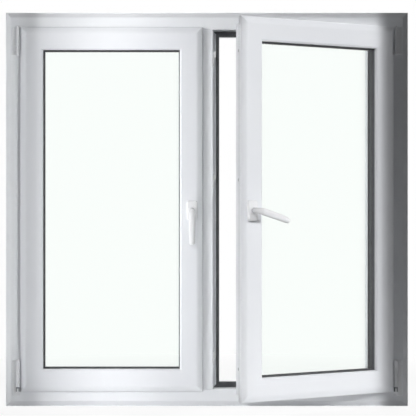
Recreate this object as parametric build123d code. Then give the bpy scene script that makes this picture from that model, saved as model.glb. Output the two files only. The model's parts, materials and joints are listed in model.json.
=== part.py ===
from build123d import *
import math
import os

# Casement window with two inward-opening sashes either side of a fixed mullion.
# X runs to the right seen from the room, Y runs to the outside, Z runs up.
# The origin is the middle of the frame's bottom face, halfway through its depth.

# Pose: the left sash is shut and locked, the right one stands open
right_sash_open = 32.0
left_handle_turn = 0.0
right_handle_turn = 73.0

# Frame
frame_width = 1165.0
frame_height = 1140.0
frame_depth = 60.0
frame_wall = 3.0
frame_sight = 44.0
mullion_sight = 24.0
leg_rise = 18.0
leg_depth = 16.0
lip_width = 2.0
lip_bevel = 13.0
lip_set_back = 10.0
frame_edge_round = 2.0
anchor_spacing = 700.0
anchor_hole_radius = 5.25

# Sash section and the space around a shut sash
sash_depth = 60.0
sash_face = 66.0
sash_overlap = 6.0
sash_wall = 3.0
sash_edge_width = 15.0
sash_edge_drop = 6.5
sash_edge_round = 4.0
sash_edge_blend = 20.0
rebate_gap = 12.0
gasket_gap = 4.0
glazing_rebate = 18.0
outer_leg_depth = 14.0

# Steel reinforcement
steel_wall = 2.0
steel_clearance = 0.3
steel_end_gap = 4.0
connector_length = 30.0

# Glazing
pane_thickness = 4.0
pane_gap = 16.0
pane_seal = 4.0
block_height = 5.0
block_length = 100.0
block_end_distance = 60.0
bead_set_back = 0.5
bead_bevel_width = 5.0
bead_bevel_drop = 2.8
bead_wall = 2.5
seal_lip_width = 3.3
seal_lip_height = 2.0
seal_lip_edge = 1.0
seal_bed_width = 10.0
spacer_height = 7.0
spacer_wall = 1.0
spacer_sight = 0.5

# Weather seals
upright_seal_width = 9.0
level_seal_width = 16.5
rebate_seal_inset = 0.5
rebate_seal_taper = 1.5
flange_seal_width = 4.0
flange_seal_inset = 1.0
flange_seal_taper = 0.8
seal_clearance = 0.4

# Espagnolette lock in the edge of the sash
groove_from_leg = 27.0
groove_width = 12.0
groove_depth = 6.5
plate_width = 16.0
plate_thickness = 2.5
plate_end_distance = 32.0
slide_clearance = 0.2
rod_width = 11.0
rod_thickness = 2.5
rod_end_distance = 60.0
gear_module = 1.5
pinion_teeth = 11
pressure_angle = 20.0
gear_backlash = 0.4
tooth_tip_gap = 0.05
gear_width = 7.2
tooth_dedendum = 1.7
case_wall = 1.5
case_half_height = 32.0
case_back_gap = 0.85
journal_radius = 6.2
journal_clearance = 0.05
spindle_side = 7.0
spindle_clearance = 0.05
spindle_hole_radius = 6.0
cam_radius = 4.5
cam_reach = 8.0
cam_stem_radius = 3.0
cam_stem_length = 3.0
bottom_cam_rise = 101.0
middle_cam_rise = 94.0
top_cam_drop = 82.0
cam_slot_clearance = 0.4
handle_swing = 90.0

# Keeps on the mullion
keep_length = 40.0
keep_width = 20.0
keep_base = 2.6
keep_offset = 7.0
keep_lip_thickness = 3.0
keep_lip_gap = 0.5
keep_lip_margin = 0.6
hooked_lip_height = 8.0
short_lip_height = 3.2

# Screws
screw_radius = 1.9
screw_head_radius = 3.5
screw_head_height = 1.8
screw_length = 14.0
keep_screw_spread = 30.0
keep_screw_offset = 3.5

# Handle
handle_height = 567.0
rose_width = 30.0
rose_height = 56.0
rose_thickness = 10.0
rose_corner = 7.0
rose_edge_round = 2.5
neck_radius = 8.0
neck_clearance = 0.05
lever_stand_off = 44.0
lever_bend_radius = 14.0
lever_length = 99.0
lever_root_width = 20.0
lever_tip_width = 18.0
lever_thickness = 12.0
lever_bow = 4.0
bend_steps = 3
# Along the blade: share of its length, and share of its full section there
blade_stations = ((0.0, 1.0), (0.3, 1.0), (0.65, 1.0), (0.93, 0.92), (0.98, 0.7), (1.0, 0.3))
stud_radius = 2.5
stud_clearance = 0.25
stud_spacing = 43.0
stud_in_rose = 6.0
spindle_in_lever = 20.0

# Hinges
hinge_offset = 6.5
hinge_set_in = 6.0
bottom_barrel_radius = 5.2
top_barrel_radius = 4.0
barrel_clearance = 0.3
barrel_cone = 1.5
pin_radius = 2.5
pin_clearance = 0.05
bottom_barrel_height = 75.0
bottom_cup_height = 13.5
bottom_pin_engagement = 20.0
pin_end_cover = 2.0
top_hinge_height = 79.0
leaf_thickness = 2.5
leaf_length = 23.0
web_width = 6.0
bracket_plate_width = 22.0
bracket_plate_thickness = 3.0
bracket_plate_drop = 12.0
bracket_screw_inset = 6.0
bracket_clearance = 1.5

# Levels through the depth, from the room to the outside
room_y = -frame_depth / 2
street_y = frame_depth / 2
leg_y = street_y - leg_depth
lip_y = room_y + lip_set_back
sash_out_y = leg_y - gasket_gap
sash_room_y = sash_out_y - sash_depth
flange_back_y = room_y - gasket_gap
outer_leg_y = sash_out_y - outer_leg_depth
outer_pane_y = outer_leg_y - pane_seal
outer_cavity_y = outer_pane_y - pane_thickness
inner_cavity_y = outer_cavity_y - pane_gap
inner_pane_y = inner_cavity_y - pane_thickness
bead_back_y = inner_pane_y - pane_seal
bead_face_y = sash_room_y + bead_set_back
groove_y = sash_out_y - groove_from_leg

# Distances inward from the frame's outer edge
rebate_u = frame_sight + sash_overlap
leg_u = rebate_u + leg_rise

# Distances inward from the sash's flange edge
groove_v = sash_overlap + rebate_gap
plate_v = groove_v + plate_thickness
groove_floor_v = plate_v + groove_depth
rod_v = plate_v + slide_clearance
pitch_v = rod_v + rod_thickness / 2
pitch_radius = gear_module * pinion_teeth / 2
axis_v = pitch_v + pitch_radius
tooth_addendum = rod_thickness / 2 - tooth_tip_gap
tip_radius = pitch_radius + tooth_addendum
case_back_v = axis_v + tip_radius + case_back_gap + case_wall
glazing_floor_v = sash_face - glazing_rebate
glass_v = glazing_floor_v + block_height
leg_v = leg_u - frame_sight

# Outlines of the frame and of the shut left sash: left, right, bottom, top
frame_rect = (-frame_width / 2, frame_width / 2, 0.0, frame_height)
sash_rect = (
    -frame_width / 2 + frame_sight,
    -mullion_sight / 2,
    frame_sight,
    frame_height - frame_sight,
)
sash_left, sash_right, sash_bottom, sash_top = sash_rect
cam_heights = (
    sash_bottom + bottom_cam_rise,
    handle_height + middle_cam_rise,
    sash_top - top_cam_drop,
)
handle_x = sash_right - axis_v
hinge_x = sash_left - hinge_offset
cup_top = sash_bottom + bottom_cup_height
hinge_y = sash_room_y + hinge_set_in
mullion_half = mullion_sight / 2 + sash_overlap
mullion_leg_half = mullion_half + leg_rise
rod_travel_full = pitch_radius * math.radians(handle_swing)
SIDES = ("bottom", "top", "left", "right")


def outline(*points):
    """A flat face through points given as inward distance and depth."""
    return make_face(Polyline(*points, close=True))


def rounded(face, radius, *corners):
    """The face with the corners nearest to the given points rounded."""
    picks = [face.vertices().sort_by_distance((a, b, 0))[0] for a, b in corners]
    return fillet(picks, radius)


def box(x, y, z):
    """A block between a pair of limits on each axis."""
    middle = Pos((x[0] + x[1]) / 2, (y[0] + y[1]) / 2, (z[0] + z[1]) / 2)
    return middle * Box(abs(x[1] - x[0]), abs(y[1] - y[0]), abs(z[1] - z[0]))


def rod_along_x(radius, x, y, z):
    return Pos((x[0] + x[1]) / 2, y, z) * Rot(0, 90, 0) * Cylinder(radius, abs(x[1] - x[0]))


def rod_along_y(radius, x, y, z):
    return Pos(x, (y[0] + y[1]) / 2, z) * Rot(90, 0, 0) * Cylinder(radius, abs(y[1] - y[0]))


def rod_along_z(radius, x, y, z):
    return Pos(x, y, (z[0] + z[1]) / 2) * Cylinder(radius, abs(z[1] - z[0]))


def member(section, rect, side):
    """One side of a rectangle in the given section, mitred at both ends."""
    left, right, bottom, top = rect
    middle_x = (left + right) / 2
    middle_z = (bottom + top) / 2
    middle, inward, along, length = {
        "bottom": (Vector(middle_x, 0, bottom), Vector(0, 0, 1), Vector(1, 0, 0), right - left),
        "top": (Vector(middle_x, 0, top), Vector(0, 0, -1), Vector(1, 0, 0), right - left),
        "left": (Vector(left, 0, middle_z), Vector(1, 0, 0), Vector(0, 0, 1), top - bottom),
        "right": (Vector(right, 0, middle_z), Vector(-1, 0, 0), Vector(0, 0, 1), top - bottom),
    }[side]
    plane = Plane(origin=middle, x_dir=inward, z_dir=inward.cross(Vector(0, 1, 0)))
    bar = extrude(plane * section, length / 2, both=True)
    for end in (-1, 1):
        corner = middle + along * (end * length / 2)
        mitre = Plane(origin=corner, z_dir=along * -end - inward)
        bar = split(bar, mitre, keep=Keep.TOP)
    return bar


def ring(section, rect):
    """The four sides of a rectangle joined into one closed ring."""
    bars = [member(section, rect, side) for side in SIDES]
    return bars[0] + bars[1:]


def trimmed_bar(section, rect, side, end_cut):
    """One side of a rectangle cut square, short of the corners."""
    left, right, bottom, top = rect
    bar = member(section, rect, side)
    big = frame_width + frame_height
    if side in ("left", "right"):
        return bar & box((-big, big), (-big, big), (bottom + end_cut, top - end_cut))
    return bar & box((left + end_cut, right - end_cut), (-big, big), (-big, big))


def frame_section():
    """Frame profile: set-back lip, face, rebate and outer leg, with two chambers."""
    lip_end = lip_width + lip_bevel
    profile = outline(
        (0, lip_y), (lip_width, lip_y), (lip_end, room_y), (rebate_u, room_y),
        (rebate_u, leg_y), (leg_u, leg_y), (leg_u, street_y), (0, street_y),
    )
    profile = rounded(
        profile, frame_edge_round, (rebate_u, room_y), (leg_u, leg_y), (leg_u, street_y), (0, street_y)
    )
    main_chamber = outline(
        (frame_wall, lip_y + frame_wall), (lip_width + frame_wall / 2, lip_y + frame_wall),
        (lip_end + frame_wall / 2, room_y + frame_wall), (rebate_u - frame_wall, room_y + frame_wall),
        (rebate_u - frame_wall, leg_y), (frame_wall, leg_y),
    )
    outer_chamber = outline(
        (frame_wall, leg_y + frame_wall), (leg_u - frame_wall, leg_y + frame_wall),
        (leg_u - frame_wall, street_y - frame_wall), (frame_wall, street_y - frame_wall),
    )
    return profile - main_chamber - outer_chamber


def tube_section(a0, a1, b0, b1, wall):
    """A square tube between limits of inward distance and depth."""
    outer = outline((a0, b0), (a1, b0), (a1, b1), (a0, b1))
    inner = outline(
        (a0 + wall, b0 + wall), (a1 - wall, b0 + wall), (a1 - wall, b1 - wall), (a0 + wall, b1 - wall)
    )
    return outer - inner


def sash_section():
    """Sash profile: room flange, lock groove, chambers and the outer glazing leg."""
    g = groove_y
    half_plate = plate_width / 2
    half_groove = groove_width / 2
    w = sash_wall
    edge_y = sash_room_y + sash_edge_drop
    profile = outline(
        (0, edge_y), (sash_edge_width, sash_room_y), (glazing_floor_v, sash_room_y),
        (glazing_floor_v, outer_leg_y), (sash_face, outer_leg_y), (sash_face, sash_out_y),
        (groove_v, sash_out_y), (groove_v, g + half_plate), (plate_v, g + half_plate),
        (plate_v, g + half_groove), (groove_floor_v, g + half_groove), (groove_floor_v, g - half_groove),
        (plate_v, g - half_groove), (plate_v, g - half_plate), (groove_v, g - half_plate),
        (groove_v, flange_back_y), (0, flange_back_y),
    )
    profile = rounded(profile, sash_edge_round, (0, edge_y))
    profile = rounded(profile, sash_edge_blend, (sash_edge_width, sash_room_y))
    profile = rounded(profile, frame_edge_round, (sash_face, sash_out_y), (groove_v, sash_out_y))
    chamber_v = groove_floor_v + w
    main_chamber = outline(
        (w, edge_y + w), (sash_edge_width, sash_room_y + w), (glazing_floor_v - w, sash_room_y + w),
        (glazing_floor_v - w, sash_out_y - w), (chamber_v, sash_out_y - w),
        (chamber_v, flange_back_y - w), (w, flange_back_y - w),
    )
    edge_chamber = outline(
        (groove_v + w, g + half_plate + w), (groove_floor_v, g + half_plate + w),
        (groove_floor_v, sash_out_y - w), (groove_v + w, sash_out_y - w),
    )
    leg_chamber = outline(
        (glazing_floor_v, outer_leg_y + w), (sash_face - w, outer_leg_y + w),
        (sash_face - w, sash_out_y - w), (glazing_floor_v, sash_out_y - w),
    )
    return profile - main_chamber - edge_chamber - leg_chamber


def sash_steel_section():
    """Steel channel in the sash chamber, its back towards the glass."""
    a0 = groove_floor_v + sash_wall + steel_clearance
    a1 = glazing_floor_v - sash_wall - steel_clearance
    b0 = flange_back_y - sash_wall + steel_clearance
    b1 = sash_out_y - sash_wall - steel_clearance
    outer = outline((a0, b0), (a1, b0), (a1, b1), (a0, b1))
    inner = outline(
        (a0, b0 + steel_wall), (a1 - steel_wall, b0 + steel_wall), (a1 - steel_wall, b1 - steel_wall),
        (a0, b1 - steel_wall),
    )
    return outer - inner


def bead_section():
    """Hollow glazing bead with a bevel towards the glass."""
    start = sash_face - bead_bevel_width
    edge_y = bead_face_y + bead_bevel_drop
    w = bead_wall
    profile = outline(
        (glazing_floor_v, bead_face_y), (start, bead_face_y), (sash_face, edge_y), (sash_face, bead_back_y),
        (glazing_floor_v, bead_back_y),
    )
    profile = rounded(profile, bead_bevel_width / 2, (start, bead_face_y))
    chamber = outline(
        (glazing_floor_v + w, bead_face_y + w), (start - w / 2, bead_face_y + w),
        (sash_face - w, edge_y + w / 2), (sash_face - w, bead_back_y - w),
        (glazing_floor_v + w, bead_back_y - w),
    )
    return profile - chamber


def inner_seal_section():
    """Seal between bead and glass, with a lip that shows beside the bead."""
    bed = sash_face - seal_bed_width
    tip = sash_face + seal_lip_width
    return outline(
        (bed, bead_back_y), (sash_face, bead_back_y), (sash_face, bead_back_y - seal_lip_height),
        (tip, inner_pane_y - seal_lip_edge), (tip, inner_pane_y), (bed, inner_pane_y),
    )


def outer_seal_section():
    """Seal between the outer leg and the glass."""
    bed = sash_face - seal_bed_width
    tip = sash_face + seal_lip_width
    return outline(
        (bed, outer_pane_y), (tip, outer_pane_y), (tip, outer_pane_y + seal_lip_edge),
        (sash_face, outer_leg_y + seal_lip_height), (sash_face, outer_leg_y), (bed, outer_leg_y),
    )


def spacer_section():
    """Channel between the panes, open towards the edge of the glass."""
    top = sash_face + spacer_sight
    foot = top - spacer_height
    w = spacer_wall
    return outline(
        (top, inner_cavity_y), (top, outer_cavity_y), (foot, outer_cavity_y), (foot, outer_cavity_y - w),
        (top - w, outer_cavity_y - w), (top - w, inner_cavity_y + w), (foot, inner_cavity_y + w),
        (foot, inner_cavity_y),
    )


def rebate_seal_section(width):
    """Seal on the room side of the frame's outer leg."""
    outer = leg_v - rebate_seal_inset
    inner = outer - width
    crest_y = sash_out_y + seal_clearance
    shoulder_y = (leg_y + crest_y) / 2
    return outline(
        (inner, leg_y), (outer, leg_y), (outer - rebate_seal_taper, shoulder_y),
        (outer - 2 * rebate_seal_taper, crest_y), (inner + rebate_seal_taper, crest_y),
    )


def rebate_seal():
    """Seal round the left opening, with a broad foot along head and sill."""
    upright = rebate_seal_section(upright_seal_width)
    level = rebate_seal_section(level_seal_width)
    bars = [member(upright, sash_rect, side) for side in ("left", "right")]
    bars += [member(level, sash_rect, side) for side in ("bottom", "top")]
    return bars[0] + bars[1:]


def flange_seal_section():
    """Seal on the back of the sash flange."""
    outer = flange_seal_inset
    inner = outer + flange_seal_width
    crest_y = room_y - seal_clearance
    return outline(
        (outer, flange_back_y), (inner, flange_back_y), (inner - flange_seal_taper, crest_y),
        (outer + flange_seal_taper, crest_y),
    )


def screw_along(length):
    """Countersunk screw down the Z axis, the top of its head at the origin."""
    head = Pos(0, 0, -screw_head_height / 2) * Cone(screw_radius, screw_head_radius, screw_head_height)
    shank_length = length - screw_head_height
    shank = Pos(0, 0, -screw_head_height - shank_length / 2) * Cylinder(screw_radius, shank_length)
    return head + shank


def keep(cam_height, lip_height):
    """Keep on the left face of the mullion, its lip in front of the shut cam."""
    middle = cam_height - keep_offset
    low = middle - keep_length / 2
    high = middle + keep_length / 2
    lip_back = groove_y - cam_radius - keep_lip_gap
    lip_front = lip_back - keep_lip_thickness
    base = box((-mullion_half - keep_base, -mullion_half), (lip_front, lip_front + keep_width), (low, high))
    lip_foot = cam_height - cam_radius - keep_lip_margin
    lip = box((-mullion_half - lip_height, -mullion_half), (lip_front, lip_back), (lip_foot, high))
    return base + lip


def keep_screws(cam_height):
    """The two screws of a keep on the left face of the mullion."""
    middle = cam_height - keep_offset
    y = groove_y + keep_screw_offset
    face_x = -mullion_half - keep_base
    return [
        Pos(face_x, y, middle + end * keep_screw_spread / 2) * Rot(0, -90, 0) * screw_along(screw_length)
        for end in (-1, 1)
    ]


def bottom_bracket():
    """Frame half of the left bottom hinge: plate, web and cup."""
    cup = rod_along_z(bottom_barrel_radius, hinge_x, hinge_y, (sash_bottom, cup_top))
    return cup + bracket_back(sash_bottom, cup_top, sash_bottom - bracket_plate_drop, cup_top)


def bracket_back(web_low, web_high, plate_low, plate_high):
    """Web and screwed plate that carry a frame knuckle."""
    plate_right = sash_left - bracket_clearance
    web = box((hinge_x - web_width / 2, hinge_x + web_width / 2), (hinge_y, room_y), (web_low, web_high))
    plate = box(
        (plate_right - bracket_plate_width, plate_right), (room_y - bracket_plate_thickness, room_y),
        (plate_low, plate_high),
    )
    return web + plate


def bracket_screws(plate_low, plate_high):
    """Two screws at the outer side of a bracket plate."""
    plate_left = sash_left - bracket_clearance - bracket_plate_width
    x = plate_left + bracket_screw_inset
    y = room_y - bracket_plate_thickness
    return [
        Pos(x, y, z) * Rot(90, 0, 0) * screw_along(screw_length)
        for z in (plate_low + bracket_screw_inset, plate_high - bracket_screw_inset)
    ]


def top_bracket():
    """Frame half of the left top hinge: knuckle, web and plate."""
    low = sash_top - top_hinge_height / 2
    knuckle = rod_along_z(top_barrel_radius, hinge_x, hinge_y, (low, sash_top))
    return knuckle + bracket_back(low, sash_top, low, sash_top)


def hinge_leaf(radius, low, high):
    """Sash half of a left hinge: barrel, web, plate behind the flange, plate on the sash edge."""
    barrel = rod_along_z(radius, hinge_x, hinge_y, (low, high))
    gap_y = (flange_back_y + room_y) / 2
    groove_x = sash_left + groove_v
    plate_y = (gap_y - leaf_thickness / 2, gap_y + leaf_thickness / 2)
    web = box((hinge_x - web_width / 2, hinge_x + web_width / 2), (hinge_y, plate_y[1]), (low, high))
    behind_flange = box((hinge_x - web_width / 2, groove_x), plate_y, (low, high))
    edge_y = (plate_y[0], plate_y[0] + leaf_length)
    on_edge = box((groove_x - leaf_thickness, groove_x), edge_y, (low, high))
    return barrel + web + behind_flange + on_edge


def coned(leaf, radius, level):
    """The leaf with the top rim of its barrel, at the given level, cut to a cone."""
    rims = [
        edge for edge in leaf.edges().filter_by(GeomType.CIRCLE)
        if abs(edge.center().Z - level) < barrel_clearance and abs(edge.radius - radius) < pin_clearance
    ]
    return chamfer(rims, barrel_cone)


def pinion_outline():
    """Involute pinion in the XZ plane, with a tooth towards +X."""
    alpha = math.radians(pressure_angle)
    base_radius = pitch_radius * math.cos(alpha)
    thickness = math.pi * gear_module / 2 - gear_backlash / 2
    root_radius = pitch_radius - tooth_dedendum

    def half_angle(radius):
        at = math.acos(min(1.0, base_radius / radius))
        return thickness / (2 * pitch_radius) + math.tan(alpha) - alpha - (math.tan(at) - at)

    flank = [root_radius, base_radius, pitch_radius, tip_radius]
    points = []
    for tooth in range(pinion_teeth):
        middle = 2 * math.pi * tooth / pinion_teeth
        rising = [(radius, middle - half_angle(max(radius, base_radius))) for radius in flank]
        falling = [(radius, 2 * middle - angle) for radius, angle in reversed(rising)]
        for radius, angle in rising + falling:
            points.append((radius * math.cos(angle), radius * math.sin(angle)))
    return outline(*points)


def drive_pinion():
    """Pinion on two journals, with a square bore for the spindle."""
    case_half = rod_width / 2 + slide_clearance + case_wall
    gear = extrude(Plane.XZ * pinion_outline(), gear_width / 2, both=True)
    hub = rod_along_y(journal_radius, 0, (-case_half, case_half), 0)
    side = spindle_side / 2 + spindle_clearance
    bore = box((-side, side), (-case_half, case_half), (-side, side))
    return gear + hub - bore


def lever():
    """Lever pointing down: a round neck on the Y axis that bends into a flat blade."""
    centre_y = sash_room_y - lever_stand_off
    bend_y = centre_y + lever_bend_radius
    sections = []
    for step in range(bend_steps):
        share = step / bend_steps
        angle = math.radians(90 * share)
        y = bend_y - lever_bend_radius * math.sin(angle)
        z = lever_bend_radius * (math.cos(angle) - 1)
        half_width = neck_radius + (lever_root_width / 2 - neck_radius) * share
        half_depth = neck_radius + (lever_thickness / 2 - neck_radius) * share
        travel = (0, -math.cos(angle), -math.sin(angle))
        station = Plane(origin=(0, y, z), x_dir=(1, 0, 0), z_dir=travel)
        sections.append(station * Ellipse(half_width, half_depth))
    for share, size in blade_stations:
        width = lever_root_width + (lever_tip_width - lever_root_width) * share
        y = centre_y - lever_bow * math.sin(math.pi * share)
        z = -lever_bend_radius - share * (lever_length - lever_bend_radius)
        station = Plane(origin=(0, y, z), x_dir=(1, 0, 0), z_dir=(0, 0, -1))
        sections.append(station * Ellipse(width / 2 * size, lever_thickness / 2 * size))
    blade = loft(sections)
    neck = rod_along_y(neck_radius, 0, (bend_y, sash_room_y), 0)
    side = spindle_side / 2
    socket = box((-side, side), (sash_room_y - spindle_in_lever, sash_room_y), (-side, side))
    return blade + neck - socket


def handle_rose():
    """Rounded plate behind the lever, bored for the neck and the studs."""
    face = RectangleRounded(rose_width, rose_height, rose_corner)
    plate = Pos(0, sash_room_y, 0) * extrude(Plane.XZ * face, rose_thickness)
    rim = plate.faces().sort_by(Axis.Y)[0].outer_wire().edges()
    plate = fillet(rim, rose_edge_round)
    plate -= rod_along_y(neck_radius + neck_clearance, 0, (sash_room_y - rose_thickness, sash_room_y), 0)
    for stud in studs(stud_radius):
        plate -= stud
    return plate


def studs(radius):
    """The two threaded studs that hold the rose to the gear case."""
    back_y = groove_y - rod_width / 2 - slide_clearance
    front_y = sash_room_y - stud_in_rose
    return [rod_along_y(radius, 0, (front_y, back_y), end * stud_spacing / 2) for end in (-1, 1)]


def gear_case():
    """Case behind the faceplate, open towards it, with bearings for the pinion."""
    outer_half = rod_width / 2 + slide_clearance + case_wall
    inner_half = rod_width / 2 + slide_clearance
    plate_x = sash_right - plate_v
    back_x = sash_right - case_back_v
    low = -case_half_height
    high = case_half_height
    shell = box((back_x, plate_x), (groove_y - outer_half, groove_y + outer_half), (low, high))
    cavity = box(
        (back_x + case_wall, plate_x), (groove_y - inner_half, groove_y + inner_half),
        (low + case_wall, high - case_wall),
    )
    rod_way = box(
        (sash_right - rod_v - rod_thickness - slide_clearance, plate_x),
        (groove_y - inner_half, groove_y + inner_half), (low, high),
    )
    bearing = rod_along_y(
        journal_radius + journal_clearance, handle_x, (groove_y - outer_half, groove_y + outer_half), 0
    )
    case = shell - cavity - rod_way - bearing
    for stud in studs(stud_radius):
        case -= Pos(handle_x, 0, 0) * stud
    return case


def gear_pocket():
    """Room milled in the lock stile for the gear case, the spindle and the studs."""
    half = rod_width / 2 + 2 * slide_clearance + case_wall
    tall = case_half_height + slide_clearance
    pocket = box(
        (sash_right - case_back_v - slide_clearance, sash_right - groove_v),
        (groove_y - half, groove_y + half), (-tall, tall),
    )
    spindle_way = rod_along_y(spindle_hole_radius, handle_x, (sash_room_y, groove_y), 0)
    pocket += spindle_way
    for stud in studs(stud_radius + stud_clearance):
        pocket += Pos(handle_x, 0, 0) * stud
    return Pos(0, 0, handle_height) * pocket


def drive_rod():
    """Flat rod in the lock groove at the locked position, slotted as a rack."""
    near_x = sash_right - rod_v
    far_x = near_x - rod_thickness
    pitch = math.pi * gear_module
    slot = pitch / 2 + gear_backlash / 2
    slope = math.tan(math.radians(pressure_angle))
    narrow = slot / 2 - slope * rod_thickness / 2
    wide = slot / 2 + slope * rod_thickness / 2
    rod = box(
        (far_x, near_x), (groove_y - rod_width / 2, groove_y + rod_width / 2),
        (sash_bottom + rod_end_distance + rod_travel_full, sash_top - rod_end_distance),
    )
    reach = math.ceil(tip_radius / pitch)
    slots_above = math.ceil((tip_radius + rod_travel_full) / pitch)
    for index in range(-reach, slots_above + 1):
        z = handle_height + index * pitch
        window = outline((near_x, z - narrow), (near_x, z + narrow), (far_x, z + wide), (far_x, z - wide))
        half = gear_width / 2 + slide_clearance
        rod -= Pos(0, groove_y, 0) * extrude(Plane.XZ * window, half, both=True)
    return rod


def locking_cams():
    """Round cams on the rod at the locked position, standing out of the faceplate."""
    rod_face = sash_right - rod_v
    edge_x = sash_right - groove_v
    cams = []
    for height in cam_heights:
        stem = rod_along_x(cam_stem_radius, (rod_face, edge_x + slide_clearance), groove_y, height)
        head = rod_along_x(cam_radius, (edge_x + slide_clearance, edge_x + cam_reach), groove_y, height)
        cams.append(stem + head)
    return cams


def faceplate():
    """Strip that closes the lock groove, slotted for the cams."""
    half = plate_width / 2 - slide_clearance / 2
    plate = box(
        (sash_right - plate_v, sash_right - groove_v), (groove_y - half, groove_y + half),
        (sash_bottom + plate_end_distance, sash_top - plate_end_distance),
    )
    slot_half = cam_stem_radius + cam_slot_clearance
    for height in cam_heights:
        plate -= box(
            (sash_right - plate_v, sash_right - groove_v), (groove_y - slot_half, groove_y + slot_half),
            (height - rod_travel_full - slot_half, height + slot_half),
        )
    return plate


def setting_blocks():
    """Blocks between the edge of the glass and the sash."""
    low_v = glazing_floor_v
    y = (inner_pane_y, outer_pane_y)
    left = sash_left + glass_v
    right = sash_right - glass_v
    bottom = sash_bottom + glass_v
    top = sash_top - glass_v
    first = block_end_distance
    last = block_end_distance + block_length
    return [
        box((left + first, left + last), y, (sash_bottom + low_v, bottom)),
        box((right - last, right - first), y, (sash_bottom + low_v, bottom)),
        box((left + first, left + last), y, (top, sash_top - low_v)),
        box((right - last, right - first), y, (top, sash_top - low_v)),
        box((sash_left + low_v, left), y, (bottom + first, bottom + last)),
        box((sash_left + low_v, left), y, (top - last, top - first)),
        box((right, sash_right - low_v), y, (bottom + first, bottom + last)),
        box((right, sash_right - low_v), y, (top - last, top - first)),
    ]


def pane(near_y):
    """A sheet of glass between the setting blocks."""
    return box(
        (sash_left + glass_v, sash_right - glass_v), (near_y, near_y + pane_thickness),
        (sash_bottom + glass_v, sash_top - glass_v),
    )


def sash(turn):
    """Every piece of the shut left sash, with its handle turned from the locked position."""
    section = sash_section()
    steel = sash_steel_section()
    pocket = gear_pocket()
    steels = [
        trimmed_bar(steel, sash_rect, side, glazing_floor_v + steel_end_gap) for side in SIDES
    ]
    bottom_low = cup_top + barrel_clearance
    bottom_high = bottom_low + bottom_barrel_height
    pin_top = bottom_low + bottom_pin_engagement + pin_end_cover
    top_high = sash_top - top_hinge_height / 2 - barrel_clearance
    top_low = sash_top - top_hinge_height
    pin_hole = pin_radius + pin_clearance
    bottom_leaf = hinge_leaf(bottom_barrel_radius, bottom_low, bottom_high)
    bottom_leaf = coned(bottom_leaf, bottom_barrel_radius, bottom_high)
    bottom_leaf -= rod_along_z(pin_hole, hinge_x, hinge_y, (bottom_low, pin_top))
    top_leaf = hinge_leaf(top_barrel_radius, top_low, top_high)
    top_leaf -= rod_along_z(pin_hole, hinge_x, hinge_y, (top_low + pin_end_cover, top_high))
    seal = ring(flange_seal_section(), sash_rect)
    for low, high in ((bottom_low, bottom_high), (top_low, top_high)):
        seal -= box(
            (sash_left, sash_left + groove_v), (flange_back_y, room_y),
            (low - seal_clearance, high + seal_clearance),
        )
    at_handle = Pos(handle_x, 0, handle_height)
    turned = at_handle * Rot(0, turn, 0)
    at_gear = Pos(handle_x, groove_y, handle_height) * Rot(0, turn, 0)
    case_half = rod_width / 2 + slide_clearance + case_wall
    spindle = box(
        (-spindle_side / 2, spindle_side / 2), (sash_room_y - spindle_in_lever, groove_y + case_half),
        (-spindle_side / 2, spindle_side / 2),
    )
    shift = Pos(0, 0, -pitch_radius * math.radians(turn))
    return {
        "bottom_rail": [member(section, sash_rect, "bottom")],
        "top_rail": [member(section, sash_rect, "top")],
        "hinge_stile": [member(section, sash_rect, "left")],
        "lock_stile": [member(section, sash_rect, "right") - pocket],
        "reinforcement": [steels[0], steels[1], steels[2], steels[3] - pocket],
        "outer_pane": [pane(outer_cavity_y)],
        "inner_pane": [pane(inner_pane_y)],
        "spacer_bar": [ring(spacer_section(), sash_rect)],
        "glazing_beads": [member(bead_section(), sash_rect, side) for side in SIDES],
        "glazing_seals": [ring(inner_seal_section(), sash_rect), ring(outer_seal_section(), sash_rect)],
        "setting_blocks": setting_blocks(),
        "flange_seal": [seal],
        "lock_faceplate": [faceplate()],
        "gear_case": [Pos(0, 0, handle_height) * gear_case()],
        "handle_rose": [at_handle * handle_rose()],
        "rose_studs": [at_handle * stud for stud in studs(stud_radius)],
        "bottom_hinge_leaf": [bottom_leaf],
        "top_hinge_leaf": [top_leaf],
        "handle_lever": [turned * lever()],
        "handle_spindle": [turned * spindle],
        "drive_pinion": [at_gear * drive_pinion()],
        "drive_rod": [shift * drive_rod()],
        "locking_cams": [shift * cam for cam in locking_cams()],
    }


def both_sides(pieces):
    """The given left-hand pieces and their mirror images."""
    return pieces + [mirror(piece, about=Plane.YZ) for piece in pieces]


def opened(piece):
    """A piece of the left sash as it stands in the open right sash."""
    to_axis = Pos(-hinge_x, hinge_y, 0)
    return to_axis * Rot(0, 0, right_sash_open) * to_axis.inverse() * mirror(piece, about=Plane.YZ)


def mullion():
    """Post between the openings, coped onto the head and the sill."""
    room_part = rounded(
        outline(
            (-mullion_half, room_y), (mullion_half, room_y), (mullion_half, leg_y), (-mullion_half, leg_y)
        ),
        frame_edge_round, (-mullion_half, room_y), (mullion_half, room_y),
    )
    inside = mullion_half - frame_wall
    room_part -= outline(
        (-inside, room_y + frame_wall), (inside, room_y + frame_wall), (inside, leg_y), (-inside, leg_y)
    )
    leg_half = mullion_leg_half
    leg_part = outline((-leg_half, leg_y), (leg_half, leg_y), (leg_half, street_y), (-leg_half, street_y))
    leg_part = rounded(
        leg_part, frame_edge_round,
        (-leg_half, leg_y), (leg_half, leg_y), (leg_half, street_y), (-leg_half, street_y),
    )
    leg_inside = leg_half - frame_wall
    leg_part -= outline(
        (-leg_inside, leg_y + frame_wall), (leg_inside, leg_y + frame_wall),
        (leg_inside, street_y - frame_wall), (-leg_inside, street_y - frame_wall),
    )
    room_post = Pos(0, 0, rebate_u) * extrude(room_part, frame_height - 2 * rebate_u)
    leg_post = Pos(0, 0, leg_u) * extrude(leg_part, frame_height - 2 * leg_u)
    return room_post + leg_post


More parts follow.
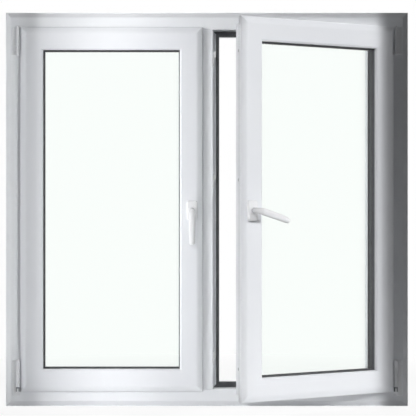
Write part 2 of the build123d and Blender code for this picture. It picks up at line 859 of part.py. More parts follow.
def mullion_inside():
    """Limits of the steel and the connectors inside the mullion."""
    half = mullion_half - frame_wall - steel_clearance
    return half, (room_y + frame_wall + steel_clearance, leg_y - steel_clearance)


def mullion_connectors():
    """Blocks at the ends of the mullion that fasten it to the head and the sill."""
    half, depth = mullion_inside()
    low = rebate_u
    high = frame_height - rebate_u
    return [
        box((-half, half), depth, (low, low + connector_length)),
        box((-half, half), depth, (high - connector_length, high)),
    ]


def frame_steels():
    """Square tubes in the four frame sides and in the mullion."""
    lip_side = lip_width + lip_bevel + frame_wall / 2 + steel_clearance
    section = tube_section(
        lip_side, rebate_u - frame_wall - steel_clearance, room_y + frame_wall + steel_clearance,
        leg_y - steel_clearance, steel_wall,
    )
    tubes = [trimmed_bar(section, frame_rect, side, rebate_u + steel_end_gap) for side in SIDES]
    half, depth = mullion_inside()
    end = rebate_u + connector_length + steel_end_gap
    tube = box((-half, half), depth, (end, frame_height - end))
    tube -= box(
        (-half + steel_wall, half - steel_wall), (depth[0] + steel_wall, depth[1] - steel_wall),
        (end, frame_height - end),
    )
    return tubes + [tube]


def anchor_holes():
    """Holes through the jambs and the head for the wall anchors."""
    holes = []
    for end in (-1, 1):
        offset = end * anchor_spacing / 2
        level = frame_height / 2 + offset
        side = frame_width / 2
        holes.append(rod_along_x(anchor_hole_radius, (-side, rebate_u - side), 0, level))
        holes.append(rod_along_x(anchor_hole_radius, (side - rebate_u, side), 0, level))
        holes.append(rod_along_z(anchor_hole_radius, offset, 0, (frame_height - rebate_u, frame_height)))
    return holes


def hinge_pins():
    """Pins of the left hinges: a short one under the sash, a long one through the top knuckles."""
    bottom_low = sash_bottom + pin_end_cover
    bottom_high = cup_top + barrel_clearance + bottom_pin_engagement
    top_low = sash_top - top_hinge_height + 2 * pin_end_cover
    return [
        rod_along_z(pin_radius, hinge_x, hinge_y, (bottom_low, bottom_high)),
        rod_along_z(pin_radius, hinge_x, hinge_y, (top_low, sash_top - pin_end_cover)),
    ]


def frame():
    """Every fixed piece of the frame."""
    section = frame_section()
    bottom_plate = (sash_bottom - bracket_plate_drop, cup_top)
    top_plate = (sash_top - top_hinge_height / 2, sash_top)
    screws = both_sides(bracket_screws(*bottom_plate) + bracket_screws(*top_plate))
    for height in cam_heights:
        screws += both_sides(keep_screws(height))
    cuts = anchor_holes() + screws
    pins = both_sides(hinge_pins())
    left_keeps = [keep(height, short_lip_height) for height in cam_heights]
    right_keeps = [mirror(keep(height, hooked_lip_height), about=Plane.YZ) for height in cam_heights]
    seal = rebate_seal()
    return {
        "frame_sill": [member(section, frame_rect, "bottom")],
        "frame_head": [member(section, frame_rect, "top") - cuts],
        "frame_left_jamb": [member(section, frame_rect, "left") - cuts],
        "frame_right_jamb": [member(section, frame_rect, "right") - cuts],
        "mullion": [mullion() - cuts],
        "frame_reinforcement": [tube - cuts for tube in frame_steels()],
        "mullion_connectors": mullion_connectors(),
        "left_rebate_seal": [seal],
        "right_rebate_seal": [mirror(seal, about=Plane.YZ)],
        "lock_keeps": [piece - cuts for piece in left_keeps + right_keeps],
        "hardware_screws": screws,
        "bottom_hinge_brackets": [piece - cuts - pins for piece in both_sides([bottom_bracket()])],
        "top_hinge_brackets": [piece - cuts - pins for piece in both_sides([top_bracket()])],
        "hinge_pins": pins,
    }


def write(name, pieces):
    """Write one named piece, or a group of like pieces, to its own file."""
    solids = [solid for piece in pieces for solid in piece.solids()]
    export_step(Compound(solids), os.path.join("parts", name + ".step"))


os.makedirs("parts", exist_ok=True)
for name, pieces in frame().items():
    write(name, pieces)
for name, pieces in sash(left_handle_turn).items():
    write("left_" + name, pieces)
for name, pieces in sash(right_handle_turn).items():
    write("right_" + name, [opened(piece) for piece in pieces])
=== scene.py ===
import json
import math

import bpy
from mathutils import Matrix, Vector


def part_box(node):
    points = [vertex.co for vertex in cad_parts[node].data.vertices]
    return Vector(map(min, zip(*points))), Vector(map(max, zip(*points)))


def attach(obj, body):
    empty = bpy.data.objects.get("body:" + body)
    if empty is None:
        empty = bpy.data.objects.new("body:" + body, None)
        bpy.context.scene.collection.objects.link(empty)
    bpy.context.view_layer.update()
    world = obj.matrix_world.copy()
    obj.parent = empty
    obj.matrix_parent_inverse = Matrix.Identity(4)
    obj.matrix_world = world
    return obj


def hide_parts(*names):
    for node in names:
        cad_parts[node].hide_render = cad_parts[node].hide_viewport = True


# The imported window, standing in its frame: metres, X to the right, Y to the outside, Z up.
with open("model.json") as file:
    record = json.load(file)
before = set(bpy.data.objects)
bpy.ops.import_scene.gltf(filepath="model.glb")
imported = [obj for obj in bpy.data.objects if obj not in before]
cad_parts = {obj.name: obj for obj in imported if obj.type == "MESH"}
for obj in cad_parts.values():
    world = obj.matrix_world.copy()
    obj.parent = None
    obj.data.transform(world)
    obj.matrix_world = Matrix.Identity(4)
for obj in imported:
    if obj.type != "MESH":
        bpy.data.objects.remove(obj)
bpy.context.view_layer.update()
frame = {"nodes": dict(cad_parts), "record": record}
nodes = frame["nodes"]
bpy.ops.object.select_all(action="DESELECT")

# Places from the window's own joints: pins, spindles and how far the right sash stands open
joints = {joint["name"]: joint for joint in frame["record"]["behaviour"]["joints"]}
HINGE_PINS = {side: Vector(joints[side + "_sash_swing"]["pos_m"]) for side in ("left", "right")}
LEFT_SPINDLE = Vector(joints["left_handle_turn"]["pos_m"])
RIGHT_SPINDLE = Vector(joints["right_handle_turn"]["pos_m"])
SASH_OPEN = math.radians(-joints["right_sash_swing"]["range_deg"][0])
HANDLE_TURN = math.radians(-joints["right_handle_turn"]["range_deg"][0])
SASH_FACE_Y = LEFT_SPINDLE.y
OUT = Vector((0.0, -1.0, 0.0))
UP = Vector((0.0, 0.0, 1.0))
QUARTER_TURN = math.radians(90.0)


# Finishes

# Each white is a pale and a deep shade
FRAME_WHITE = ((0.86, 0.875, 0.90), (0.845, 0.86, 0.89))
SASH_WHITE = ((0.83, 0.845, 0.875), (0.815, 0.83, 0.865))
HANDLE_WHITE = ((0.88, 0.885, 0.90), (0.87, 0.875, 0.89))
HINGE_WHITE = ((0.80, 0.81, 0.83), (0.78, 0.79, 0.81))
# Each rubber is a dark and a dusty shade
SEAL_BLACK = ((0.050, 0.051, 0.055), (0.085, 0.087, 0.092))
GLAZING_GREY = ((0.095, 0.098, 0.105), (0.135, 0.139, 0.147))
# Density of the draw lines along X, Y and Z, by the way a bar lies
DRAW_LINES = {
    "level": (3.0, 260.0, 260.0),
    "upright": (260.0, 260.0, 3.0),
    "both ways": (40.0, 40.0, 40.0),
}
SPACER_HOLE_PITCH = 0.006
CAVITY_MIDDLE_Y = -0.020


def new_finish(name):
    """A finish with its node tree and main shader."""
    finish = bpy.data.materials.new(name)
    finish.use_nodes = True
    tree = finish.node_tree
    return finish, tree, tree.nodes["Principled BSDF"]


def pattern_space(tree, turn=0.0, stretch=(1.0, 1.0, 1.0), shift=(0.0, 0.0, 0.0)):
    """The piece's own coordinates, turned about the upright and stretched."""
    place = tree.nodes.new("ShaderNodeTexCoord")
    lay = tree.nodes.new("ShaderNodeMapping")
    lay.inputs["Location"].default_value = shift
    lay.inputs["Rotation"].default_value = (0.0, 0.0, turn)
    lay.inputs["Scale"].default_value = stretch
    tree.links.new(place.outputs["Object"], lay.inputs["Vector"])
    return lay.outputs["Vector"]


def cloudy(tree, space, scale, detail=3.0, roughness=0.5):
    """Soft random variation over the surface."""
    noise = tree.nodes.new("ShaderNodeTexNoise")
    noise.inputs["Scale"].default_value = scale
    noise.inputs["Detail"].default_value = detail
    noise.inputs["Roughness"].default_value = roughness
    tree.links.new(space, noise.inputs["Vector"])
    return noise.outputs["Fac"]


def between(tree, share, low, high, start=0.3, end=0.7):
    """A number that follows a pattern from low to high."""
    spread = tree.nodes.new("ShaderNodeMapRange")
    spread.inputs["From Min"].default_value = start
    spread.inputs["From Max"].default_value = end
    spread.inputs["To Min"].default_value = low
    spread.inputs["To Max"].default_value = high
    tree.links.new(share, spread.inputs["Value"])
    return spread.outputs["Result"]


def shades(tree, share, *stops):
    """A colour that follows a pattern from the first of two stops to the second."""
    ramp = tree.nodes.new("ShaderNodeValToRGB")
    for element, (position, colour) in zip(ramp.color_ramp.elements, stops):
        element.position = position
        element.color = (*colour, 1.0)
    tree.links.new(share, ramp.inputs["Fac"])
    return ramp.outputs["Color"]


def relief(tree, height, depth, under=None):
    """A fine relief of the given depth in metres, on top of an earlier one."""
    bump = tree.nodes.new("ShaderNodeBump")
    bump.inputs["Strength"].default_value = 1.0
    bump.inputs["Distance"].default_value = depth
    tree.links.new(height, bump.inputs["Height"])
    if under is not None:
        tree.links.new(under, bump.inputs["Normal"])
    return bump.outputs["Normal"]


def dress(tree, shader, colour=None, roughness=None, normal=None):
    """Lead patterns to the shader's colour, roughness and relief."""
    for pattern, socket in ((colour, "Base Color"), (roughness, "Roughness"), (normal, "Normal")):
        if pattern is not None:
            tree.links.new(pattern, shader.inputs[socket])


def profile_plastic(name, pale, deep, lie, turn=0.0):
    """White extruded plastic: faint draw lines along the bar, satin gloss, a slight cast."""
    finish, tree, shader = new_finish(name)
    lines = cloudy(tree, pattern_space(tree, turn, DRAW_LINES[lie]), scale=1.0, detail=2.0)
    cast = cloudy(tree, pattern_space(tree), scale=4.0, detail=4.0)
    skin = cloudy(tree, pattern_space(tree), scale=900.0, detail=1.0)
    dress(
        tree, shader,
        colour=shades(tree, cast, (0.35, deep), (0.65, pale)),
        roughness=between(tree, lines, low=0.30, high=0.40),
        normal=relief(tree, lines, depth=0.00003, under=relief(tree, skin, depth=0.00001)),
    )
    shader.inputs["IOR"].default_value = 1.46
    return finish


def coated_metal(name, pale, deep, gloss):
    """White powder coat: fine orange peel under a glossy skin."""
    finish, tree, shader = new_finish(name)
    space = pattern_space(tree)
    peel = cloudy(tree, space, scale=700.0, detail=2.0)
    cast = cloudy(tree, space, scale=30.0)
    dress(
        tree, shader,
        colour=shades(tree, cast, (0.3, deep), (0.7, pale)),
        roughness=between(tree, peel, low=gloss, high=gloss + 0.1),
        normal=relief(tree, peel, depth=0.00004),
    )
    shader.inputs["Coat Weight"].default_value = 0.25
    shader.inputs["Coat Roughness"].default_value = 0.15
    return finish


def float_glass(name):
    """Clear glass with a slight green cast and a trace of waviness."""
    finish, tree, shader = new_finish(name)
    wave = cloudy(tree, pattern_space(tree), scale=3.0, detail=1.0)
    dress(tree, shader, normal=relief(tree, wave, depth=0.00004))
    shader.inputs["Base Color"].default_value = (0.975, 0.995, 0.982, 1.0)
    shader.inputs["Roughness"].default_value = 0.0
    shader.inputs["IOR"].default_value = 1.45
    shader.inputs["Transmission Weight"].default_value = 1.0
    return finish


def seal_rubber(name, dark, dusty):
    """Matt rubber with a dusty bloom."""
    finish, tree, shader = new_finish(name)
    space = pattern_space(tree)
    bloom = cloudy(tree, space, scale=45.0, detail=5.0, roughness=0.6)
    grain = cloudy(tree, space, scale=1200.0, detail=2.0)
    dress(
        tree, shader,
        colour=shades(tree, bloom, (0.35, dark), (0.7, dusty)),
        roughness=between(tree, bloom, low=0.55, high=0.75),
        normal=relief(tree, grain, depth=0.00005),
    )
    return finish


def perforated_spacer(name, turn, shift):
    """Dark coated spacer bar with a row of small breathing holes."""
    finish, tree, shader = new_finish(name)
    holes = tree.nodes.new("ShaderNodeTexVoronoi")
    holes.inputs["Scale"].default_value = 1.0
    holes.inputs["Randomness"].default_value = 0.0
    density = 1.0 / SPACER_HOLE_PITCH
    space = pattern_space(tree, turn, (density, density, density), shift)
    tree.links.new(space, holes.inputs["Vector"])
    rolled = cloudy(tree, pattern_space(tree), scale=400.0, detail=2.0)
    dress(
        tree, shader,
        colour=shades(
            tree, holes.outputs["Distance"],
            (0.10, (0.02, 0.02, 0.022)), (0.13, (0.13, 0.133, 0.14)),
        ),
        roughness=between(tree, rolled, low=0.38, high=0.5),
    )
    shader.inputs["Metallic"].default_value = 0.3
    return finish


def galvanised(name):
    """Galvanised steel with its spangle."""
    finish, tree, shader = new_finish(name)
    spangle = tree.nodes.new("ShaderNodeTexVoronoi")
    spangle.inputs["Scale"].default_value = 140.0
    tree.links.new(pattern_space(tree), spangle.inputs["Vector"])
    flake = tree.nodes.new("ShaderNodeSeparateColor")
    tree.links.new(spangle.outputs["Color"], flake.inputs["Color"])
    share = flake.outputs["Red"]
    dress(
        tree, shader,
        colour=shades(tree, share, (0.0, (0.46, 0.47, 0.49)), (1.0, (0.64, 0.65, 0.67))),
        roughness=between(tree, share, low=0.34, high=0.52, start=0.0, end=1.0),
    )
    shader.inputs["Metallic"].default_value = 1.0
    return finish


def zinc_plate(name):
    """Bright zinc with a fine rolled grain and dull patches."""
    finish, tree, shader = new_finish(name)
    grain_space = pattern_space(tree, stretch=(600.0, 600.0, 20.0))
    grain = cloudy(tree, grain_space, scale=1.0, detail=2.0)
    dull = cloudy(tree, pattern_space(tree), scale=60.0, detail=4.0)
    dress(
        tree, shader,
        colour=shades(tree, dull, (0.3, (0.52, 0.53, 0.54)), (0.7, (0.68, 0.69, 0.70))),
        roughness=between(tree, grain, low=0.25, high=0.42),
        normal=relief(tree, grain, depth=0.00002),
    )
    shader.inputs["Metallic"].default_value = 1.0
    return finish


def moulded_plastic(name):
    """Grey moulded plastic with a fine spark-eroded grain."""
    finish, tree, shader = new_finish(name)
    space = pattern_space(tree)
    grain = cloudy(tree, space, scale=800.0)
    flow = cloudy(tree, space, scale=25.0)
    dress(
        tree, shader,
        colour=shades(tree, flow, (0.3, (0.15, 0.16, 0.17)), (0.7, (0.20, 0.21, 0.22))),
        roughness=between(tree, grain, low=0.45, high=0.6),
        normal=relief(tree, grain, depth=0.00004),
    )
    return finish


left_holes_shift = (0.0, -CAVITY_MIDDLE_Y / SPACER_HOLE_PITCH, 0.0)
right_holes_shift = (0.0, 0.0, 0.0)
finishes = {
    "frame_upright": profile_plastic("frame plastic upright", *FRAME_WHITE, "upright"),
    "frame_level": profile_plastic("frame plastic level", *FRAME_WHITE, "level"),
    "sash_upright": profile_plastic("sash plastic upright", *SASH_WHITE, "upright"),
    "left_sash_level": profile_plastic("left sash plastic level", *SASH_WHITE, "level"),
    "right_sash_level": profile_plastic(
        "right sash plastic level", *SASH_WHITE, "level", -SASH_OPEN
    ),
    "bead": profile_plastic("bead plastic", *SASH_WHITE, "both ways"),
    "white_handle": coated_metal("handle white", *HANDLE_WHITE, gloss=0.2),
    "white_hinge": coated_metal("hinge white", *HINGE_WHITE, gloss=0.28),
    "clear_glass": float_glass("float glass"),
    "black_seal": seal_rubber("seal rubber", *SEAL_BLACK),
    "glazing_seal": seal_rubber("glazing rubber", *GLAZING_GREY),
    "left_spacer": perforated_spacer("left spacer bar", 0.0, left_holes_shift),
    "right_spacer": perforated_spacer("right spacer bar", -SASH_OPEN, right_holes_shift),
    "grey_plastic": moulded_plastic("moulded grey plastic"),
    "galvanised_steel": galvanised("galvanised steel"),
    "zinc_hardware": zinc_plate("zinc plate"),
}


def finish_of(node, slot):
    """The finish of a piece, by its record slot and the way its bar lies."""
    level = node.endswith("_rail") or node in ("frame_sill", "frame_head")
    side = node.split("_")[0]
    if slot == "white_frame":
        return finishes["frame_level" if level else "frame_upright"]
    if slot == "white_sash" and node.endswith("_beads"):
        return finishes["bead"]
    if slot == "white_sash":
        return finishes[side + "_sash_level" if level else "sash_upright"]
    if node.endswith("_glazing_seals"):
        return finishes["glazing_seal"]
    if slot == "grey_spacer":
        return finishes[side + "_spacer"]
    return finishes[slot]


for part in frame["record"]["subparts"]:
    piece = nodes[part["node"]]
    chosen = finish_of(part["node"], part["material_slot"])
    if not piece.material_slots:
        piece.data.materials.append(chosen)
    for place in piece.material_slots:
        place.material = chosen


# Handles and hinge fittings

FRAME_FACE_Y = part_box("frame_head")[0].y
ROSE_FRONT_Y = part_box("left_handle_rose")[0].y
LEVER_TIP_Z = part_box("left_handle_lever")[0].z
TOP_BRACKET_HIGH_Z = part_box("top_hinge_brackets")[1].z
CUP_LOW_Z, CUP_HIGH_Z = (corner.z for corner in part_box("bottom_hinge_brackets"))
BOTTOM_BARREL_HIGH_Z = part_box("left_bottom_hinge_leaf")[1].z
TOP_BARREL_LOW_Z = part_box("left_top_hinge_leaf")[0].z

NECK_RADIUS = 0.008
NECK_SIDES = 24
BEND_RADIUS = 0.014
BEND_STEPS = 5
BLADE_STAND_OFF = 0.044
BLADE_ROOT_WIDTH = 0.020
BLADE_TIP_WIDTH = 0.018
BLADE_THICKNESS = 0.012
BLADE_BOW = 0.004
# Share of the blade's length and share of its full section there
BLADE_STATIONS = ((0.3, 1.0), (0.6, 1.0), (0.85, 0.97), (0.95, 0.84), (0.99, 0.58), (1.0, 0.3))

COLLAR_CLEARANCE = 0.0003
COLLAR_WALL = 0.0036
COLLAR_CROWN_WALL = 0.0030
COLLAR_SINK = 0.0008
COLLAR_SHOULDER = 0.0008
COLLAR_CROWN = 0.0015
COLLAR_HEIGHT = 0.0018

BOTTOM_BARREL_RADIUS = 0.0052
TOP_BARREL_RADIUS = 0.0040
CAP_HEIGHT = 0.0035
CAP_WALL = 0.0003
CAP_SKIRT = 0.0040
CAP_ANGLES = [math.radians(angle) for angle in (0.0, 18.0, 36.0, 54.0, 70.0, 82.0)]
BUSH_BORE = 0.0053
BUSH_RADIUS = 0.0057
BUSH_HEIGHT = 0.0130
BUSH_CHAMFER_WIDTH = 0.0003
BUSH_CHAMFER_HEIGHT = 0.0004
PLUG_WIDTH = 0.0044
PLUG_LIFT = 0.0001
PLUG_RIM = 0.0006
PLUG_BELOW_RIM = 0.0036
COVER_FROM_PIN = 0.0036
COVER_WIDTH = 0.0140
COVER_DEPTH = 0.0045
COVER_RIM = 0.0012

ROUND_SIDES = 40
JOIN_DISTANCE = 0.000001
# Share of a face's direction that has to point to the room
FACES_FRONT = 0.9
# Degrees between two faces from which their edge stays crisp
LEVER_CREASE = 60.0
ROUND_CREASE = 35.0
COVER_CREASE = 30.0
ROUNDED_COVER_CREASE = 50.0


def edit_new(name):
    """Name the piece just added, put its place into its mesh and open it, all selected."""
    piece = bpy.context.object
    piece.name = name
    bpy.ops.object.transform_apply(location=True, rotation=True, scale=True)
    bpy.ops.object.mode_set(mode="EDIT")
    bpy.ops.mesh.select_all(action="SELECT")
    return piece


def leave_edit(crease):
    """Join doubled points, turn the faces outwards and shade smooth between the creases."""
    bpy.ops.mesh.select_all(action="SELECT")
    bpy.ops.mesh.remove_doubles(threshold=JOIN_DISTANCE)
    bpy.ops.mesh.normals_make_consistent(inside=False)
    bpy.ops.object.mode_set(mode="OBJECT")
    bpy.ops.object.shade_smooth_by_angle(angle=math.radians(crease))


def bake(piece, kind, **settings):
    """Add a modifier and apply it."""
    change = piece.modifiers.new(kind.lower(), kind)
    for setting, value in settings.items():
        setattr(change, setting, value)
    bpy.ops.object.modifier_apply(modifier=change.name)


def fit(piece, body, finish):
    """Hand a new piece to the body it moves with, in a finish of the record."""
    piece.data.materials.append(finishes[finish])
    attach(piece, body)
    bpy.ops.object.select_all(action="DESELECT")


def draw_out(step, centre, sizes):
    """Draw the selected end out by a step and resize it about its new middle."""
    bpy.ops.mesh.extrude_region_move(TRANSFORM_OT_translate={"value": step})
    bpy.ops.transform.resize(value=sizes, center_override=centre)


def lever(name):
    """Lever hanging from a spindle at the origin: neck, quarter bend, oval blade, round tip."""
    bend_y = BEND_RADIUS - BLADE_STAND_OFF
    neck_start = Vector((0.0, ROSE_FRONT_Y - SASH_FACE_Y, 0.0)) / 2
    bpy.ops.mesh.primitive_circle_add(
        vertices=NECK_SIDES, radius=NECK_RADIUS, fill_type="NGON", location=neck_start,
        rotation=(QUARTER_TURN, 0.0, 0.0),
    )
    piece = edit_new(name)
    neck_end = Vector((0.0, bend_y, 0.0))
    draw_out(neck_end - neck_start, neck_end, (1.0, 1.0, 1.0))
    pivot = Vector((0.0, bend_y, -BEND_RADIUS))
    width, depth = NECK_RADIUS, NECK_RADIUS
    for step in range(1, BEND_STEPS + 1):
        share = step / BEND_STEPS
        angle = QUARTER_TURN * share
        middle = pivot + BEND_RADIUS * Vector((0.0, -math.sin(angle), math.cos(angle)))
        new_width = NECK_RADIUS + (BLADE_ROOT_WIDTH / 2 - NECK_RADIUS) * share
        new_depth = NECK_RADIUS + (BLADE_THICKNESS / 2 - NECK_RADIUS) * share
        bpy.ops.mesh.extrude_region_move()
        bpy.ops.transform.rotate(
            value=-QUARTER_TURN / BEND_STEPS, orient_axis="X", orient_type="GLOBAL",
            center_override=pivot,
        )
        bpy.ops.transform.resize(
            value=(new_width / width, new_depth / depth, new_depth / depth), center_override=middle
        )
        width, depth = new_width, new_depth
    blade_length = LEFT_SPINDLE.z - LEVER_TIP_Z - BEND_RADIUS
    for share, size in BLADE_STATIONS:
        end_y = -BLADE_STAND_OFF - BLADE_BOW * math.sin(math.pi * share)
        end = Vector((0.0, end_y, -BEND_RADIUS - blade_length * share))
        new_width = size * (BLADE_ROOT_WIDTH + (BLADE_TIP_WIDTH - BLADE_ROOT_WIDTH) * share) / 2
        new_depth = size * BLADE_THICKNESS / 2
        draw_out(end - middle, end, (new_width / width, new_depth / depth, new_depth / depth))
        middle, width, depth = end, new_width, new_depth
    leave_edit(LEVER_CREASE)
    bake(piece, "SUBSURF", levels=2, render_levels=2)
    return piece


def turned(name, foot, axis, stations, hollow):
    """Round piece drawn along an axis through stations of radius and height, closed or hollow."""
    radius, height = stations[0]
    bpy.ops.mesh.primitive_circle_add(
        vertices=ROUND_SIDES, radius=radius, fill_type="NOTHING" if hollow else "NGON",
        location=foot + height * axis, rotation=axis.to_track_quat("Z", "Y").to_euler(),
    )
    piece = edit_new(name)
    for next_radius, next_height in stations[1:]:
        ratio = next_radius / radius
        draw_out((next_height - height) * axis, foot + next_height * axis, (ratio, ratio, ratio))
        radius, height = next_radius, next_height
    leave_edit(ROUND_CREASE)
    return piece


def moulded_cover(name, low, high, rim):
    """Moulded block between two corners: rounded edges and a slightly raised front."""
    bpy.ops.mesh.primitive_cube_add(size=1.0, location=(low + high) / 2, scale=high - low)
    piece = edit_new(name)
    bpy.ops.mesh.select_all(action="DESELECT")
    bpy.ops.object.mode_set(mode="OBJECT")
    for face in piece.data.polygons:
        face.select = face.normal.dot(OUT) > FACES_FRONT
    bpy.ops.object.mode_set(mode="EDIT")
    bpy.ops.mesh.inset(thickness=rim)
    bpy.ops.transform.translate(value=rim / 2 * OUT)
    leave_edit(COVER_CREASE)
    bake(piece, "BEVEL", width=rim / 2, segments=3)
    bpy.ops.object.shade_smooth_by_angle(angle=math.radians(ROUNDED_COVER_CREASE))
    return piece


def both_levers():
    """The two levers in place of the plain ones, each turned as its handle stands."""
    left = lever("left_lever")
    bpy.ops.object.duplicate()
    right = bpy.context.object
    right.name = "right_lever"
    left.data.transform(Matrix.Translation(LEFT_SPINDLE))
    turn = Matrix.Rotation(SASH_OPEN, 4, "Z") @ Matrix.Rotation(-HANDLE_TURN, 4, "Y")
    right.data.transform(Matrix.Translation(RIGHT_SPINDLE) @ turn)
    for piece, side in ((left, "left"), (right, "right")):
        fit(piece, side + "_handle", "white_handle")
        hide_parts(side + "_handle_lever")


def rose_collars():
    """A low collar on each rose, round the lever's neck."""
    bore = NECK_RADIUS + COLLAR_CLEARANCE
    stations = (
        (bore, -COLLAR_SINK),
        (bore + COLLAR_WALL, -COLLAR_SINK),
        (bore + COLLAR_WALL, COLLAR_SHOULDER),
        (bore + COLLAR_CROWN_WALL, COLLAR_CROWN),
        (bore, COLLAR_HEIGHT),
        (bore, -COLLAR_SINK),
    )
    lift = SASH_FACE_Y - ROSE_FRONT_Y
    face_out = Matrix.Rotation(SASH_OPEN, 3, "Z") @ OUT
    for side, foot, axis in (("left", LEFT_SPINDLE, OUT), ("right", RIGHT_SPINDLE, face_out)):
        piece = turned(side + "_rose_collar", foot + lift * axis, axis, stations, True)
        fit(piece, side + "_sash", "white_handle")


def barrel_caps(side, pin):
    """Domed caps on the ends of the hinge barrels."""
    for place, level, axis, radius, body in (
        ("bottom_barrel_cap", BOTTOM_BARREL_HIGH_Z, UP, BOTTOM_BARREL_RADIUS, side + "_sash"),
        ("top_barrel_cap", TOP_BARREL_LOW_Z, -UP, TOP_BARREL_RADIUS, side + "_sash"),
        ("top_knuckle_cap", TOP_BRACKET_HIGH_Z, UP, TOP_BARREL_RADIUS, "frame"),
    ):
        foot = Vector((pin.x, pin.y, level))
        dome = [(radius * math.cos(a), CAP_HEIGHT * math.sin(a)) for a in CAP_ANGLES]
        skirt = radius + CAP_WALL
        stations = [(skirt, -CAP_SKIRT), (skirt, -CAP_WALL)] + dome
        fit(turned(side + "_" + place, foot, axis, stations, False), body, "white_hinge")


def cup_fittings(side, pin):
    """Dark bush round the bottom cup, with a pale plug in its front: the bush's dark grey is
    painted shade, an outline that stands in for the shadowed gap round the cup.
    """
    stations = (
        (BUSH_BORE, -BUSH_HEIGHT),
        (BUSH_RADIUS, -BUSH_HEIGHT),
        (BUSH_RADIUS, -BUSH_CHAMFER_HEIGHT),
        (BUSH_RADIUS - BUSH_CHAMFER_WIDTH, 0.0),
        (BUSH_BORE, 0.0),
        (BUSH_BORE, -BUSH_HEIGHT),
    )
    shade_bush = turned(side + "_cup_shade_bush", Vector((pin.x, pin.y, CUP_HIGH_Z)), UP, stations, True)
    # Painted shade: the bush's dark grey outlines the cup where the gap round it lies in shadow,
    # and the pale plug keeps the middle light.
    fit(shade_bush, "frame", "grey_plastic")
    front_y = pin.y - BUSH_RADIUS - PLUG_LIFT
    low = Vector((pin.x - PLUG_WIDTH / 2, front_y, CUP_HIGH_Z - BUSH_HEIGHT))
    high = Vector((pin.x + PLUG_WIDTH / 2, pin.y - BUSH_BORE, CUP_HIGH_Z - PLUG_BELOW_RIM))
    fit(moulded_cover(side + "_cup_plug", low, high, PLUG_RIM), "frame", "white_hinge")


def plate_covers(side, pin):
    """Covers over the two bracket plates, outside the pin."""
    outward = -1.0 if side == "left" else 1.0
    inner_x = pin.x + outward * COVER_FROM_PIN
    outer_x = pin.x + outward * (COVER_FROM_PIN + COVER_WIDTH)
    for place, low_z, high_z in (
        ("top_plate_cover", TOP_BARREL_LOW_Z, TOP_BRACKET_HIGH_Z),
        ("bottom_plate_cover", CUP_LOW_Z, BOTTOM_BARREL_HIGH_Z),
    ):
        low = Vector((min(inner_x, outer_x), FRAME_FACE_Y - COVER_DEPTH, low_z))
        high = Vector((max(inner_x, outer_x), FRAME_FACE_Y, high_z))
        fit(moulded_cover(side + "_" + place, low, high, COVER_RIM), "frame", "white_hinge")


both_levers()
rose_collars()
for side, pin in HINGE_PINS.items():
    barrel_caps(side, pin)
    cup_fittings(side, pin)
    plate_covers(side, pin)


# Stage, light and camera

FLOOR_SIZE = 14.0
FLOOR_DROP = 0.0005
FLOOR_PAINT = (0.85, 0.85, 0.85)
# How white the floor looks far from the window and close to it, where it takes the shadow
FLOOR_WHITE_FAR = 1.0
FLOOR_WHITE_NEAR = 0.92
# The floor's near zone: inverse of its radius in metres, and the share of it that fades
FLOOR_NEAR_SCALE = 0.6
FLOOR_NEAR_FADE = 0.4
WHITE = (1.0, 1.0, 1.0)
AMBIENT_TINT = (0.93, 0.96, 1.0)
AMBIENT = 0.036

CAMERA_PLACE = (0.0032, -4.701, 0.574)
CAMERA_SENSOR = 36.0
CAMERA_LENS = 139.7
CAMERA_REACH = 50.0

# Softboxes: name, place, aim, width, height, beam in degrees, watts
LAMPS = (
    ("strip light", (-0.29, -0.29, 0.57), (-0.29, 0.0, 0.57), 0.06, 2.0, 180.0, 1.42),
    ("low softbox", (-0.283, -0.62, 0.045), (-0.283, 0.0, 0.045), 0.27, 0.08, 10.0, 0.007),
    ("key softbox", (-0.1685, -1.194, 0.894), (0.010, 0.0, 0.57), 0.98, 1.5, 3.0, 1.35),
    ("top softbox", (0.300, -1.08, 1.000), (0.300, 0.0, 0.375), 0.40, 1.25, 3.0, 0.60),
    ("right softbox", (1.70, -0.335, 0.60), (0.30, -0.335, 0.57), 0.53, 1.5, 3.0, 1.55),
    ("side softbox", (-1.10, -0.80, 0.57), (-0.05, -0.03, 0.57), 0.30, 1.8, 36.0, 1.20),
    ("free edge softbox", (-0.691, -0.924, 0.57), (0.089, -0.304, 0.57), 0.07, 1.0, 3.0, 0.078),
    ("jamb softbox", (-0.06, -0.80, 0.57), (-0.60, -0.03, 0.57), 0.10, 1.6, 8.0, 0.22),
    ("left edge softbox", (-1.60, -0.25, 0.57), (-0.58, -0.03, 0.57), 0.30, 1.7, 20.0, 0.70),
    ("back left softbox", (-1.90, 1.10, 0.80), (0.30, 0.0, 0.57), 1.0, 1.6, 60.0, 5.0),
    ("back right softbox", (1.10, 1.60, 2.30), (0.0, 0.0, 0.57), 1.2, 1.6, 60.0, 9.0),
)


def worked_out(tree, operation, first, second):
    """A number made from two others."""
    result = tree.nodes.new("ShaderNodeMath")
    result.operation = operation
    tree.links.new(first, result.inputs[0])
    tree.links.new(second, result.inputs[1])
    return result.outputs["Value"]


def seen_directly(tree):
    """1 for rays that show the background: straight, mirrored or through glass."""
    rays = tree.nodes.new("ShaderNodeLightPath").outputs
    mirrored = worked_out(tree, "MAXIMUM", rays["Is Camera Ray"], rays["Is Glossy Ray"])
    return worked_out(tree, "MAXIMUM", mirrored, rays["Is Transmission Ray"])


def even(tree, kind, colour, strength=None):
    """A shader of one colour, and of one strength if it gives light."""
    shader = tree.nodes.new(kind)
    shader.inputs["Color"].default_value = (*colour, 1.0)
    if strength is not None:
        shader.inputs["Strength"].default_value = strength
    return shader.outputs[0]


def blend_out(tree, share, first, second, output):
    """Mix two shaders by a share and lead them to the output."""
    blend = tree.nodes.new("ShaderNodeMixShader")
    tree.links.new(share, blend.inputs["Fac"])
    tree.links.new(first, blend.inputs[1])
    tree.links.new(second, blend.inputs[2])
    tree.links.new(blend.outputs["Shader"], tree.nodes.new(output).inputs["Surface"])


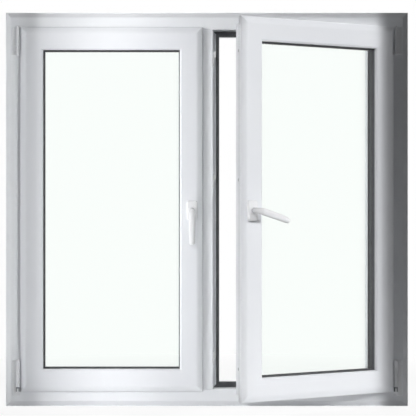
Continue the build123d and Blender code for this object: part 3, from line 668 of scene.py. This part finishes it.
def pale_floor():
    """White studio floor that still takes the window's shadow."""
    bpy.ops.mesh.primitive_plane_add(size=FLOOR_SIZE, location=(0.0, 0.0, -FLOOR_DROP))
    floor = bpy.context.object
    floor.name = "studio_floor"
    finish = bpy.data.materials.new("studio floor")
    finish.use_nodes = True
    tree = finish.node_tree
    tree.nodes.clear()
    reach = tree.nodes.new("ShaderNodeTexGradient")
    reach.gradient_type = "SPHERICAL"
    near = pattern_space(tree, stretch=(FLOOR_NEAR_SCALE, FLOOR_NEAR_SCALE, FLOOR_NEAR_SCALE))
    tree.links.new(near, reach.inputs["Vector"])
    white = between(
        tree, reach.outputs["Fac"], FLOOR_WHITE_FAR, FLOOR_WHITE_NEAR, 0.0, FLOOR_NEAR_FADE
    )
    share = worked_out(tree, "MULTIPLY", seen_directly(tree), white)
    paint = even(tree, "ShaderNodeBsdfDiffuse", FLOOR_PAINT)
    glow = even(tree, "ShaderNodeEmission", WHITE, 1.0)
    blend_out(tree, share, paint, glow, "ShaderNodeOutputMaterial")
    floor.data.materials.append(finish)


def white_surround():
    """White backdrop for the eye, weak even light for the object."""
    world = bpy.data.worlds.new("studio")
    bpy.context.scene.world = world
    world.use_nodes = True
    tree = world.node_tree
    tree.nodes.clear()
    dim = even(tree, "ShaderNodeBackground", AMBIENT_TINT, AMBIENT)
    bright = even(tree, "ShaderNodeBackground", WHITE, 1.0)
    blend_out(tree, seen_directly(tree), dim, bright, "ShaderNodeOutputWorld")


def soft_lamp(name, place, target, width, height, spread, power):
    """A softbox that keeps its beam within the given angle; the camera doesn't see it."""
    bpy.ops.object.light_add(type="AREA", location=place)
    lamp = bpy.context.object
    lamp.name = name
    lamp.data.shape = "RECTANGLE"
    lamp.data.size = width
    lamp.data.size_y = height
    lamp.data.spread = math.radians(spread)
    lamp.data.energy = power
    aim = Vector(target) - Vector(place)
    lamp.rotation_euler = aim.to_track_quat("-Z", "Y").to_euler()
    lamp.visible_camera = False
    lamp.visible_glossy = False
    lamp.visible_transmission = False


def front_camera():
    """Level camera in front of the window."""
    bpy.ops.object.camera_add(location=CAMERA_PLACE, rotation=(QUARTER_TURN, 0.0, 0.0))
    camera = bpy.context.object
    camera.data.sensor_width = CAMERA_SENSOR
    camera.data.lens = CAMERA_LENS
    camera.data.clip_end = CAMERA_REACH
    bpy.context.scene.camera = camera


pale_floor()
white_surround()
for lamp in LAMPS:
    soft_lamp(*lamp)
front_camera()
bpy.context.scene.view_settings.view_transform = "Standard"
